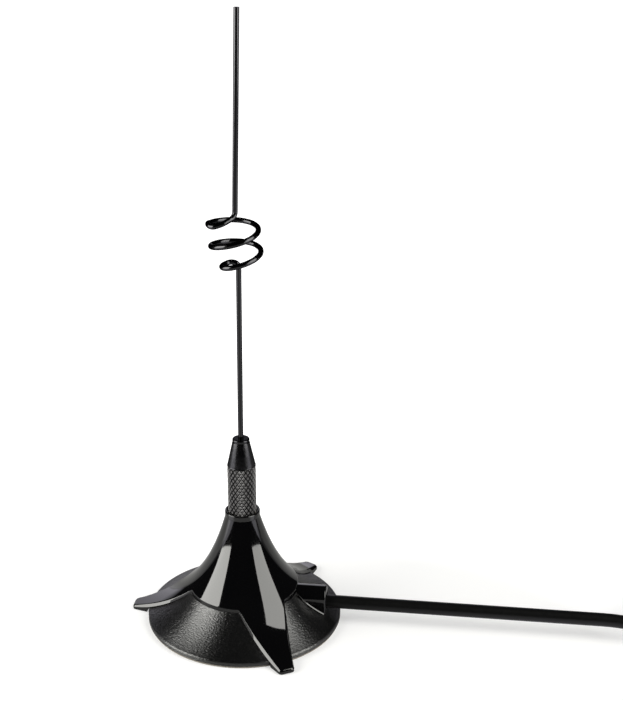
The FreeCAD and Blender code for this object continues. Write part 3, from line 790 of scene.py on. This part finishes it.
def fin_point(share, column, angle, level):
    """Point on a fin, from its root at share 0 to its toe at share 1.

    The level is 0 at its bottom, 1 at the foot of its side's facet and 2 at its top.
    """
    way = math.radians(column * 360.0 / TURN_STEPS)
    tip = fin_tip * column / fin_columns
    if abs(column) < fin_columns:
        tip = (fin_tip - fin_toe_round - fin_toe_spare) * column / (fin_columns - 1)
    root = Vector((cover_edge * math.cos(way), cover_edge * math.sin(way)))
    place = root.lerp(Vector((fin_reach, tip)), share)
    half = cover_edge * math.sin(math.radians(fin_columns * 360.0 / TURN_STEPS))
    half += (fin_tip - half) * share
    wall = height_at(FLARE, place.length) - fin_bottom(place.length)
    past_rim = max(0.0, (place.x - rim_radius) / (fin_reach - rim_radius))
    facet = min(wall - 2 * NEAR, fin_facet + (fin_toe_facet - fin_facet) * past_rim)
    height = fin_bottom(place.length)
    if level == 1:
        height = height_at(FLARE, place.length) - facet
    if level == 2:
        place.y *= 1 - fin_draft * facet * min(1.0, share / fin_draft_run) / half
        if share == 1:
            place.x -= fin_toe_lean
        height = height_at(FLARE, place.length)
    return (Matrix.Rotation(math.radians(angle), 2) @ place).to_3d() + Vector((0, 0, height))


def fin_rows():
    """Shares of the fin's length at which a row of points lies, closer where the rim ends."""
    places = [cover_edge + fin_row_step * row for row in range(1, fin_even_rows + 1)]
    places += [*FIN_TOE_ROWS, fin_reach]
    return [(place - cover_edge) / (fin_reach - cover_edge) for place in places]


edit(cover, "FACE")
mesh = bmesh.from_edit_mesh(cover.data)
column_of = mesh.verts.layers.float.new("column")
fin_of = mesh.verts.layers.float.new("fin")
level_of = mesh.verts.layers.float.new("level")
for vertex in mesh.verts:
    vertex[fin_of] = -1.0
    if abs(vertex.co.xy.length - cover_edge) < NEAR:
        bearing = math.degrees(math.atan2(vertex.co.y, vertex.co.x))
        for angle in fin_angles:
            aside = (bearing - angle + 180.0) % 360.0 - 180.0
            column = round(aside * TURN_STEPS / 360.0)
            if abs(column) <= fin_columns:
                vertex[column_of], vertex[fin_of] = column, angle
                vertex[level_of] = round(2 * (vertex.co.z - edge_foot) / (edge_top - edge_foot))
for face in mesh.faces:
    face.select_set(all(vertex[fin_of] >= 0 for vertex in face.verts))
bmesh.update_edit_mesh(cover.data)
for share in fin_rows():
    bpy.ops.mesh.extrude_region()
    mesh = bmesh.from_edit_mesh(cover.data)
    column_of = mesh.verts.layers.float["column"]
    fin_of = mesh.verts.layers.float["fin"]
    level_of = mesh.verts.layers.float["level"]
    for vertex in mesh.verts:
        if vertex.select:
            vertex.co = fin_point(share, vertex[column_of], vertex[fin_of], vertex[level_of])
    bmesh.update_edit_mesh(cover.data)


def at_toe_corner(edge):
    """Whether an edge stands on a corner of a fin's toe."""
    return all(
        abs(vertex[column_of]) == fin_columns and vertex.co.xy.length > fin_reach - fin_toe_lean - NEAR
        for vertex in edge.verts
    )


def on_outline(edge):
    """Whether an edge lies where the cover's upper face meets its side."""
    if len(edge.link_faces) != 2 or edge.calc_face_angle() < cover_round_angle:
        return False
    return all(
        vertex.co.xy.length > cover_edge - NEAR
        and vertex.co.z > height_at(FLARE, min(vertex.co.xy.length, FLARE[3][0])) - cover_round_band
        for vertex in edge.verts
    )


pick(cover, "EDGE", at_toe_corner)
bpy.ops.mesh.bevel(offset=fin_toe_round, segments=6, affect="EDGES", clamp_overlap=False)
pick(cover, "EDGE", on_outline)
bpy.ops.mesh.bevel(offset=cover_round, segments=4, affect="EDGES", clamp_overlap=False)
clean()
close()

hood_low = SKIRT[3][1]
section = [(hood_start, -hood_half, hood_low), (hood_start, -hood_half, hood_arch)]
for step in range(1, hood_arch_steps):
    way = math.pi * step / hood_arch_steps
    section.append((hood_start, -hood_half * math.cos(way), hood_arch + hood_half * math.sin(way)))
section += [(hood_start, hood_half, hood_arch), (hood_start, hood_half, hood_low)]
hood = drawn("hood", section)
bpy.ops.mesh.edge_face_add()
bpy.ops.mesh.extrude_region_move(TRANSFORM_OT_translate={"value": (hood_end - hood_start, 0, 0)})


def at_hood_mouth(edge):
    """Whether an edge lies round the hood's open end, apart from its bottom."""
    ends = [vertex.co for vertex in edge.verts]
    return min(end.x for end in ends) > hood_end - NEAR and max(end.z for end in ends) > hood_low + NEAR


pick(hood, "EDGE", at_hood_mouth)
bpy.ops.mesh.bevel(offset=hood_round, segments=4, affect="EDGES", clamp_overlap=False)
clean()
close()
room_reach = rim_radius + cut_spare
room = [(0, room_floor), (room_reach, room_floor), (room_reach, hood_low)]
room += [(radius, skirt_height(radius) + cover_gap) for radius in ROOM_RADII]
room += [(skirt_flange, edge_foot + cover_gap), (0, edge_foot + cover_gap)]
combined(hood, "DIFFERENCE", turned("room_below", room, closed=False))


def hood_foot(name, side):
    """Small sloping foot along one side of the hood, just over the skirt."""
    start = SKIRT[0][0] + hood_foot_start
    end = hood_end - hood_round
    line = []
    for step in range(hood_foot_steps + 1):
        along = start + (end - start) * step / hood_foot_steps
        height = skirt_height(math.hypot(along, hood_half)) + cover_gap + NEAR
        line.append(Vector((along, side * hood_half, height)))
    section = [
        (-hood_foot_root, 0.0), (hood_foot_width, 0.0),
        (0.0, hood_foot_height), (-hood_foot_root, hood_foot_height),
    ]
    piece = drawn(name, [line[0] + Vector((0, side * out, up)) for out, up in section])
    bpy.ops.mesh.edge_face_add()
    for before, after in zip(line, line[1:]):
        bpy.ops.mesh.extrude_region_move(TRANSFORM_OT_translate={"value": after - before})
    clean()
    close()
    return piece


combined(cover, "UNION", hood)
passage = rod("cable_passage", cable_bore, passage_start, hood_end + cut_spare, cable_height)
combined(cover, "DIFFERENCE", passage)
joined(cover, hood_foot("hood_foot_front", -1), hood_foot("hood_foot_back", 1))
finished(cover, COVER, "cover", "cover", angle=30.0)


# Skirt and pad

outside = [bezier(SKIRT, step / skirt_steps) for step in range(skirt_steps + 1)]
rim = []
for step in range(1, rim_steps + 1):
    way = math.pi / 2 * step / rim_steps
    height = SKIRT[3][1] - rim_round + rim_round * math.cos(way)
    rim.append((SKIRT[3][0] + rim_round * math.sin(way), height))
inside = [
    bezier_aside(SKIRT, 1 - step / skirt_inner_steps, skirt_wall)
    for step in range(2, skirt_inner_steps - 2)
]
flange_foot = edge_foot - skirt_wall
inside = [
    point for point in inside
    if skirt_flange + skirt_flange_margin < point.x < skirt_foot - skirt_foot_margin
    and point.y < flange_foot
]
skirt = turned("skirt_shell", [
    *outside, *rim, (rim_radius, pad_top), (skirt_foot, pad_top), *inside,
    (skirt_flange, flange_foot), (skirt_flange, edge_foot),
])
slot = rod("cable_slot", cable_radius + skirt_slot_gap, skirt_slot_start, hood_end, cable_height)
combined(skirt, "DIFFERENCE", slot)
finished(skirt, SKIN, "skirt", "skirt")

pad = turned("pad_disc", eased([
    (0, pad_recess, 0), (pad_recess_radius, pad_recess, 0),
    (pad_recess_radius + pad_recess_slope, 0, pad_round), (pad_radius, 0, pad_round),
    (pad_radius, pad_top, pad_round), (0, pad_top, 0),
]), closed=False)
finished(pad, PAD, "pad", "base_pad")


# Ferrule: turned, with a diamond knurl on its grip

ferrule_low, ferrule_high = (corner.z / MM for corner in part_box("whip_ferrule"))
grip_low, grip_high = ferrule_low + ferrule_foot_height, ferrule_low + grip_height
grip_core = grip_radius - knurl_depth - grip_core_gap
stud_end = ferrule_low + ferrule_stud_depth
socket_end = ferrule_high - socket_depth
ferrule = turned("ferrule_body", eased([
    (0, stud_end, 0), (stud_hole, stud_end, 0), (stud_hole, ferrule_low, 0.2),
    (ferrule_foot, ferrule_low, 0.2), (grip_core, grip_low, 0), (grip_core, grip_high, 0),
    (grip_radius, grip_high, 0.08), (cone_foot, grip_high + cone_foot_height, 0.1),
    (cone_top, ferrule_high - groove_low, 0.15), (groove_radius, ferrule_high - groove_low, 0.05),
    (groove_radius, ferrule_high - groove_high, 0.05), (cone_top, ferrule_high - groove_high, 0.1),
    (cone_top, ferrule_high, 0.5), (whip_socket, ferrule_high, 0.12),
    (whip_socket, socket_end, 0), (0, socket_end, 0),
], steps=5), steps=SMALL_TURN_STEPS, closed=False)
ferrule_knurl = knurled(
    "ferrule_knurl", grip_radius, grip_low, grip_high, knurl_columns, knurl_rows, knurl_depth, knurl_groove,
)
finished(joined(ferrule, ferrule_knurl), FERRULE, "ferrule", "whip_ferrule", angle=24.0)


# Whip: one wire along a line of points, turned to face as it does in the photo

foot = Vector((0, 0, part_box("whip")[0].z / MM))
bend = Vector((0, 0, ferrule_high + whip_bend_height))
coil_foot = Vector(COIL_FOOT)
coil_head = Vector(COIL_HEAD)
upper = Vector((math.sin(upper_lean), 0, math.cos(upper_lean)))
wire = [foot, bend]
wire += [bend.lerp(coil_foot, share) for share in LOWER_ROD_SHARES]
wire.append(coil_foot)
wire += [coil_foot + Vector(step) for step in CURL_IN]
for angle in range(coil_begin, coil_end + 1, coil_point_step):
    way = math.radians(angle)
    out = coil_radius * math.cos(way)
    rise = coil_pitch * angle / 360.0
    wire.append(Vector((
        coil_side + out * math.cos(coil_lean) - rise * math.sin(coil_lean),
        coil_radius * math.sin(way),
        coil_middle + out * math.sin(coil_lean) + rise * math.cos(coil_lean),
    )))
wire += [coil_head + Vector(step) for step in CURL_OUT]
wire += [coil_head + upper * (upper_rod * share) for share in UPPER_ROD_SHARES]
bpy.ops.object.select_all(action="DESELECT")
bpy.ops.curve.primitive_bezier_curve_add(radius=1)
whip = bpy.context.object
whip.name = "whip_wire"
whip.data.splines.clear()
bent = whip.data.splines.new("BEZIER")
bent.bezier_points.add(len(wire) - 1)
for point, place in zip(bent.bezier_points, wire):
    point.co = place
    point.handle_left_type = point.handle_right_type = "AUTO"
whip.data.dimensions = "3D"
whip.data.bevel_depth = whip_radius
whip.data.bevel_resolution = 6
whip.data.resolution_u = 10
whip.data.use_fill_caps = True
only(whip)
bpy.ops.object.convert(target="MESH")
whip = bpy.context.object
edit(whip)
clean()
close()
finished(whip, WHIP, "whip", "whip", place=Matrix.Rotation(whip_turn, 4, "Z"))


# Straps round the wound-up length, each a closed loop with a free end laid over it


def at_strap_end(vertex):
    """Whether a vertex is a corner of a strap's free end, on top of the loop."""
    return len(vertex.link_edges) == 2 and vertex.co.z > strap_top


def strap(name, corners, angle, width, thickness, side):
    """Band of one width that follows an outline round the turns, at an angle about their centre."""
    middle = math.radians(angle)
    half = width / 2 / strap_spin_radius
    way = Vector((math.cos(middle - half), math.sin(middle - half), 0))
    points = [WOUND_CENTER + way * radius + Vector((0, 0, height)) for radius, height in corners]
    piece = drawn(name, points)
    bpy.ops.mesh.spin(steps=strap_spin_steps, angle=-2 * half, center=WOUND_CENTER, axis=(0, 0, 1))
    mesh = bmesh.from_edit_mesh(piece.data)
    for vertex in mesh.verts:
        arm = (vertex.co - WOUND_CENTER).xy
        share = ((math.atan2(arm.y, arm.x) - middle + math.pi) % math.tau - math.pi) / half
        bearing = middle + math.asin(share * width / 2 / arm.length)
        vertex.co.xy = WOUND_CENTER.xy + arm.length * Vector((math.cos(bearing), math.sin(bearing)))
    bmesh.update_edit_mesh(piece.data)
    clean()
    pick(piece, "VERT", at_strap_end)
    bpy.ops.mesh.bevel(offset=flap_end_round, segments=8, affect="VERTICES")
    close()
    shaped(piece, "SOLIDIFY", thickness=thickness, offset=side)
    shaped(
        piece, "BEVEL", width=strap_round, segments=2, limit_method="ANGLE", angle_limit=strap_round_angle,
    )
    return piece


loop = eased([
    (strap_inner, 0.0, strap_corner), (strap_outer, 0.0, strap_corner),
    (strap_outer, strap_top, strap_corner), (strap_inner, strap_top, strap_corner),
], steps=6)
flap_side = strap_outer + flap_gap
flap_top = strap_top + flap_gap
flap = eased([
    (flap_start, flap_top, 0), (flap_side, flap_top, strap_corner), (flap_side, flap_foot, 0),
], steps=6)
bands = []
for number, angle in enumerate(strap_angles, 1):
    bands.append(strap(f"strap_{number}", loop + loop[:1], angle, strap_width, strap_thickness, -1.0))
    bands.append(strap(f"strap_end_{number}", flap, angle, flap_width, flap_thickness, 1.0))
straps = joined(*bands)
finished(straps, TAPE, "tie", "coil_ties")


# Plug, turned about its own axis and laid along +Y

rear_low, rear_high = (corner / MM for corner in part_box("plug_sleeve"))
rear_middle = (rear_low + rear_high) / 2
plug_place = Matrix.Translation((rear_middle.x, rear_low.y, rear_middle.z))
plug_place = plug_place @ Matrix.Rotation(-math.pi / 2, 4, "X")

sleeve = turned("plug_adapter", eased([
    (adapter_bore, 0, 0.3), (adapter_collar, 0, 0.3), (adapter_collar, adapter_collar_end, 0.1),
    (adapter_core, adapter_collar_end, 0), (adapter_core, adapter_end, 0.3), (adapter_bore, adapter_end, 0.2),
]), steps=SMALL_TURN_STEPS)
sleeve_knurl = knurled(
    "adapter_knurl", radius=5.0, low=0.7, high=5.4, columns=30, rows=4, depth=0.3, groove=0.2,
)
finished(joined(sleeve, sleeve_knurl), NICKEL, "plug", "plug_sleeve", angle=24.0, place=plug_place)

plug_body = turned("plug_shell", eased([
    (shell_bore, adapter_collar_end, 0.2), (shell_radius, adapter_collar_end, 0.3),
    (shell_radius, shell_flange_start, 0.1), (shell_flange, shell_flange_start, 0.2),
    (shell_flange, shell_flange_end, 0.2), (shell_nose, shell_flange_end, 0.1),
    (shell_nose, shell_end, 0.3), (disc_seat, shell_end, 0.1), (disc_seat, disc_start, 0),
    (shell_wire_bore, disc_start, 0), (shell_wire_bore, adapter_end, 0), (shell_bore, adapter_end, 0),
]), steps=SMALL_TURN_STEPS)
for turn in (0, math.pi / 2):
    bpy.ops.object.select_all(action="DESELECT")
    bpy.ops.mesh.primitive_cube_add(size=1, location=(0, 0, shell_end), rotation=(0, 0, turn))
    notch = bpy.context.object
    notch.scale = shell_notch
    bpy.ops.object.transform_apply()
    combined(plug_body, "DIFFERENCE", notch)
finished(plug_body, NICKEL, "plug", "plug_body", place=plug_place)

disc = turned("plug_disc", eased([
    (disc_bore, disc_start, 0.1), (disc_radius, disc_start, 0.1),
    (disc_radius, disc_end, 0.3), (disc_bore, disc_end, 0.2),
]), steps=64)
finished(disc, PHENOLIC, "plug_insulator", "plug_insulator", place=plug_place)

pin_low, pin_high = (corner.y / MM - rear_low.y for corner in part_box("plug_pin"))
pin = turned("plug_contact", eased([
    (0, pin_low, 0), (pin_neck, pin_low, 0.2), (pin_neck, disc_end, 0), (pin_radius, disc_end, 0.1),
    (pin_radius, pin_high, 1.0), (pin_hole, pin_high, 0.1), (pin_hole, pin_high - pin_hole_depth, 0),
    (0, pin_high - pin_hole_depth, 0),
], steps=6), steps=64, closed=False)
finished(pin, NICKEL, "plug", "plug_pin", place=plug_place)

thread = []
for turn in range(thread_turns):
    start = ring_core_end - thread_pitch * turn
    thread += [
        (thread_root, start, thread_round), (thread_crest, start - thread_flank, thread_round),
        (thread_crest, start - thread_land, thread_round),
    ]
ring_shell = turned("ring_shell", eased([
    (ring_bore, ring_start, 0.2), (ring_edge, ring_start, 0.3), (ring_core, ring_core_start, 0.1),
    (ring_core, ring_core_end, 0.1), (ring_edge, ring_end, 0.3), (ring_mouth, ring_end, 0.1), *thread,
    (thread_root, ring_relief_end, 0.1), (thread_root, ring_web_end, 0), (ring_bore, ring_web_end, 0.1),
], steps=2), steps=128)
ring_knurl = knurled(
    "ring_knurl", radius=9.0, low=16.6, high=33.8, columns=46, rows=12, depth=0.32, groove=0.18,
)
ring = joined(ring_shell, ring_knurl)
finished(ring, NICKEL, "plug", "coupling_ring", body="ring", angle=24.0, place=plug_place)


# Studio in metres and degrees: white paper, two soft panels, and a camera where the photo's stood

WHITE = (1.0, 1.0, 1.0)
PANEL_COLOUR = (1.0, 0.995, 0.95)
# Lavender tint painted into what mirrors see of the paper and sky.
PAINTED_REFLECTION_TINT = (0.93, 0.91, 1.0)
PAPER_SHADE = (0.42, 0.42, 0.42)
PAPER_SHADE_SEEN = (0.64, 0.64, 0.64)
floor_radius = 4.0
panel_distance = 0.6

# Painted reflections: patches of the floor that glow for mirror rays only, so shiny pieces show light
# stripes. Each gives level, bearing, half-width in full and half-width in all
PAINTED_FLOOR_REFLECTIONS = ((0.4, 109.0, 18.0, 25.0), (1.0, -158.5, 14.0, 26.0), (1.0, -12.0, 12.0, 22.0))
# Painted reflection of a wall behind the base, a low patch of sky that glows for mirror rays only: bearing,
# half-width in full and half-width in all
PAINTED_WALL_REFLECTION = (109.0, 18.0, 25.0)
painted_floor_start, painted_floor_full = 0.03, 0.09
painted_wall_full, painted_wall_end = 0.42, 0.54
mirrored_least = 0.01
sky_level = 0.28

# How the paper's own light rises with distance: the painted reflections for mirrors, and the glow that the
# camera sees
PAINTED_REFLECTION_GLOW = (0.06, 0.3, 0.64, 1.0)
SEEN_GLOW = (0.095, 0.15, 0.4, 1.0)
# The camera's glow is measured from a point in front of the base, so it reaches full strength round the
# wound-up length: painted light that washes out that length's shadow.
SEEN_GLOW_MIDDLE = (0.05, -0.05, 0.0)

CAMERA_PLACE = (0.07854, -0.44627, 0.29009)
camera_heading, camera_tilt, camera_roll = 8.35, 67.42, -0.63
lens_length = 72.13
lens_shift_x, lens_shift_y = 0.0504, 0.0187


def turn_about(axis, angle):
    """Rotation by an angle in degrees."""
    return Matrix.Rotation(math.radians(angle), 4, axis)


def soft_panel(name, azimuth, low, high, width, radiance, roll):
    """Panel of light that stands facing the base, rolled a little to one side."""
    lamp = bpy.data.lights.new(name, "AREA")
    lamp.color = PANEL_COLOUR
    lamp.shape = "RECTANGLE"
    lamp.size = width
    lamp.size_y = high - low
    lamp.energy = radiance * math.pi * width * (high - low)
    stand = bpy.data.objects.new(name, lamp)
    bpy.context.scene.collection.objects.link(stand)
    away = turn_about("Z", azimuth) @ Vector((panel_distance, 0, (low + high) / 2))
    stand.matrix_world = (
        Matrix.Translation(away) @ turn_about("Z", azimuth + 90.0) @ turn_about("X", 90.0)
        @ turn_about("Z", roll)
    )


def window(tree, split, bearing, full, outer):
    """Mask of the directions about a bearing in degrees, from a split position or direction."""
    node = add(tree, "ShaderNodeGroup", node_tree=WINDOW)
    for label, angle in (("Bearing", bearing), ("Full", full), ("Outer", outer)):
        node.inputs[label].default_value = math.radians(angle)
    for label in ("X", "Y"):
        tree.links.new(split.outputs[label], node.inputs[label])
    return node.outputs["Mask"]


def sorted_rays(tree):
    """Whether a ray comes from the camera, and whether it comes from a mirror or through glass."""
    rays = add(tree, "ShaderNodeLightPath").outputs
    return rays["Is Camera Ray"], worked(tree, "MAXIMUM", rays["Is Glossy Ray"], rays["Is Transmission Ray"])


soft_panel("left_panel", azimuth=-158.5, low=0.06, high=0.60, width=0.48, radiance=6.6, roll=10.0)
soft_panel("right_panel", azimuth=-14.0, low=0.085, high=1.13, width=0.46, radiance=4.6, roll=-10.0)

bpy.ops.object.select_all(action="DESELECT")
bpy.ops.mesh.primitive_circle_add(vertices=96, radius=floor_radius, fill_type="NGON")
floor = bpy.context.object
floor.name = "floor"
paper = bpy.data.materials.new("white_paper")
paper.use_nodes = True
tree = paper.node_tree
tree.nodes.clear()
from_camera, from_mirror = sorted_rays(tree)
place = object_place(tree)
split = add(tree, "ShaderNodeSeparateXYZ", [(0, place)])
away = add(tree, "ShaderNodeVectorMath", [(0, place)], operation="LENGTH").outputs["Value"]
aside = add(tree, "ShaderNodeVectorMath", [(0, place), (1, SEEN_GLOW_MIDDLE)], operation="DISTANCE")
# Painted reflections: the paper glows for mirror rays only inside the patches, and only away from the base.
painted_reflection = 0.0
for level, *directions in PAINTED_FLOOR_REFLECTIONS:
    part = worked(tree, "MULTIPLY", window(tree, split, *directions), level)
    painted_reflection = worked(tree, "MAXIMUM", painted_reflection, part)
lit = ramped(tree, away, painted_floor_start, painted_floor_full)
painted_reflection = worked(tree, "MULTIPLY", worked(tree, "MULTIPLY", from_mirror, painted_reflection), lit)
painted_reflection = worked(tree, "MULTIPLY", ramped(tree, away, *PAINTED_REFLECTION_GLOW), painted_reflection)
glow = blended(tree, from_camera, painted_reflection, ramped(tree, aside.outputs["Value"], *SEEN_GLOW))
tint = tinted(tree, from_camera, PAINTED_REFLECTION_TINT, WHITE)
white = add(tree, "ShaderNodeEmission", [("Color", tint), ("Strength", glow)])
shade = tinted(tree, from_camera, PAPER_SHADE, PAPER_SHADE_SEEN)
matt = add(tree, "ShaderNodeBsdfDiffuse", [("Color", shade)])
both = add(tree, "ShaderNodeAddShader", [(0, matt.outputs[0]), (1, white.outputs[0])])
add(tree, "ShaderNodeOutputMaterial", [("Surface", both.outputs[0])])
floor.data.materials.append(paper)

world = bpy.data.worlds.new("studio")
bpy.context.scene.world = world
world.use_nodes = True
tree = world.node_tree
tree.nodes.clear()
from_camera, from_mirror = sorted_rays(tree)
way = add(tree, "ShaderNodeTexCoord").outputs["Generated"]
split = add(tree, "ShaderNodeSeparateXYZ", [(0, way)])
# Painted reflection: mirror rays see a bright low patch of sky behind the base, and a near-black sky
# elsewhere.
wall = ramped(tree, split.outputs["Z"], painted_wall_full, painted_wall_end, 1.0, 0.0)
wall = worked(tree, "MULTIPLY", window(tree, split, *PAINTED_WALL_REFLECTION), wall)
wall = worked(tree, "MAXIMUM", wall, mirrored_least)
level = blended(tree, from_mirror, sky_level, wall)
level = blended(tree, from_camera, level, 1.0)
tint = tinted(tree, from_mirror, WHITE, PAINTED_REFLECTION_TINT)
sky = add(tree, "ShaderNodeBackground", [("Color", tint), ("Strength", level)])
add(tree, "ShaderNodeOutputWorld", [("Surface", sky.outputs[0])])

lens = bpy.data.cameras.new("camera")
lens.lens = lens_length
lens.shift_x = lens_shift_x
lens.shift_y = lens_shift_y
lens.clip_start = 0.01
camera = bpy.data.objects.new("camera", lens)
bpy.context.scene.collection.objects.link(camera)
camera.matrix_world = (
    Matrix.Translation(CAMERA_PLACE) @ turn_about("Z", camera_heading) @ turn_about("X", camera_tilt)
    @ turn_about("Z", camera_roll)
)
bpy.context.scene.camera = camera
bpy.context.scene.view_settings.view_transform = "Standard"
